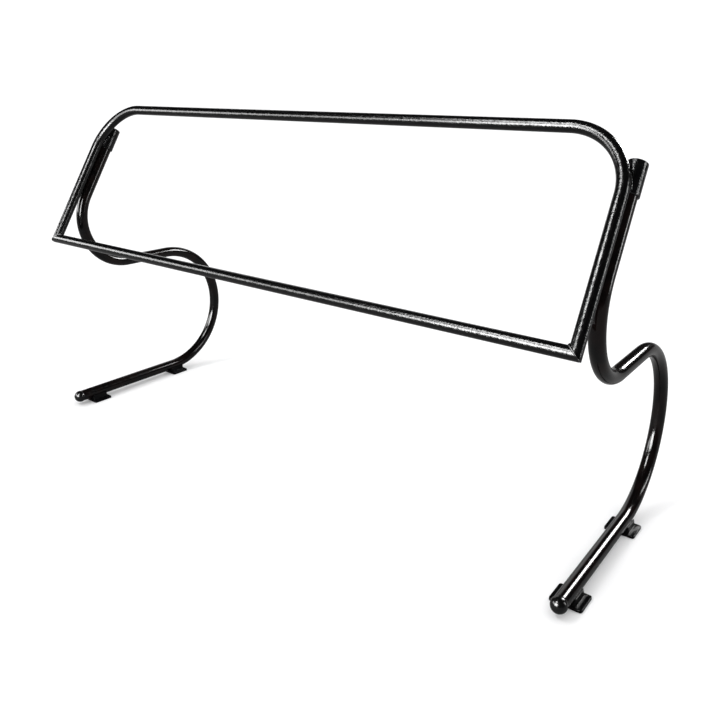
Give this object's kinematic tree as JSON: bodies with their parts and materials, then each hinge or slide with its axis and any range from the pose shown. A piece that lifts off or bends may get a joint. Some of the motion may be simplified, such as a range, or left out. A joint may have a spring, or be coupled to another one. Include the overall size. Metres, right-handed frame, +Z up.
{
  "type": "photo album stand",
  "caption": "Leaning open tube frame on two S-bent tube legs that swivel in rear sockets, with ball-tipped feet on flanged floor glides.",
  "frame": {"origin": "on the floor, under the middle of the stand's bounding box", "axes": "+X along the frame, to the right of someone facing its front; +Y to the back; +Z up"},
  "size_m": [0.8166, 0.3002, 0.4476],
  "materials": {
    "powder_coat": "gloss black powder coat with fine orange peel",
    "weld_seam": "gloss black powder coat over a rippled weld",
    "glide_plastic": "satin black moulded nylon",
    "ball_plastic": "gloss black moulded plastic",
    "inner_plastic": "plain black plastic, out of sight"
  },
  "bodies": {
    "frame": {"top_hoop": "powder_coat", "bottom_rail": "powder_coat", "left_mitre_weld": "weld_seam", "right_mitre_weld": "weld_seam", "left_leg_sleeve": "powder_coat", "left_sleeve_cap": "powder_coat", "left_sleeve_outer_weld": "weld_seam", "left_sleeve_inner_weld": "weld_seam", "right_leg_sleeve": "powder_coat", "right_sleeve_cap": "powder_coat", "right_sleeve_outer_weld": "weld_seam", "right_sleeve_inner_weld": "weld_seam"},
    "left_leg_carrier": {"left_leg_top_plug": "inner_plastic"},
    "left_leg": {"left_leg": "powder_coat", "left_foot_plug": "ball_plastic", "left_front_glide": "glide_plastic", "left_rear_glide": "glide_plastic"},
    "right_leg_carrier": {"right_leg_top_plug": "inner_plastic"},
    "right_leg": {"right_leg": "powder_coat", "right_foot_plug": "ball_plastic", "right_front_glide": "glide_plastic", "right_rear_glide": "glide_plastic"}
  },
  "joints": [
    {"name": "left_leg_pull_out", "type": "slide", "parent": "frame", "child": "left_leg_carrier", "axis": [0, -0.515, -0.8572], "range_m": [0, 0.024]},
    {"name": "left_leg_swivel", "type": "hinge", "parent": "left_leg_carrier", "child": "left_leg", "pos_m": [-0.3915, -0.03623, 0.40981], "axis": [0, -0.515, -0.8572], "range_deg": [0, 90]},
    {"name": "right_leg_pull_out", "type": "slide", "parent": "frame", "child": "right_leg_carrier", "axis": [0, -0.515, -0.8572], "range_m": [0, 0.024]},
    {"name": "right_leg_swivel", "type": "hinge", "parent": "right_leg_carrier", "child": "right_leg", "pos_m": [0.3915, -0.03623, 0.40981], "axis": [0, 0.515, 0.8572], "range_deg": [0, 90]}
  ]
}
